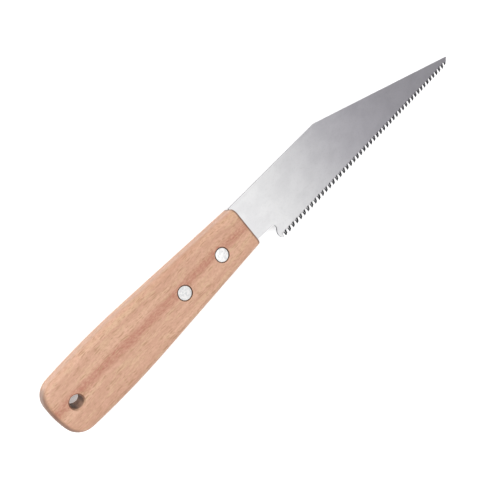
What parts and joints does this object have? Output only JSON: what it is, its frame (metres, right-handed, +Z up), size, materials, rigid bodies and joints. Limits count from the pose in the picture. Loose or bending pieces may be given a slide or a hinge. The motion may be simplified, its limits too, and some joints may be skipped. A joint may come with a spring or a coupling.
{
  "type": "drywall saw",
  "caption": "Small hand saw for plasterboard: a flat steel blade tapering to a sharp point, coarse ground teeth, and a one-piece wooden handle riveted onto the tang.",
  "frame": {"origin": "on the handle's lower side face, at the middle of the handle's length and on the handle's axis", "axes": "+X along the saw towards the blade's tip, +Y towards the blade's straight back (the teeth are at -Y), +Z up, out of the saw's upper side"},
  "size_m": [0.2829, 0.0341, 0.012],
  "materials": {
    "blade_steel": "satin ground sheet steel, with darker ground bevels on the teeth",
    "handle_wood": "beech with a thin satin lacquer",
    "rivet_metal": "bright satin"
  },
  "bodies": {
    "root": {"blade": "blade_steel", "handle": "handle_wood", "front_rivet_male": "rivet_metal", "front_rivet_female": "rivet_metal", "rear_rivet_male": "rivet_metal", "rear_rivet_female": "rivet_metal"}
  },
  "joints": []
}
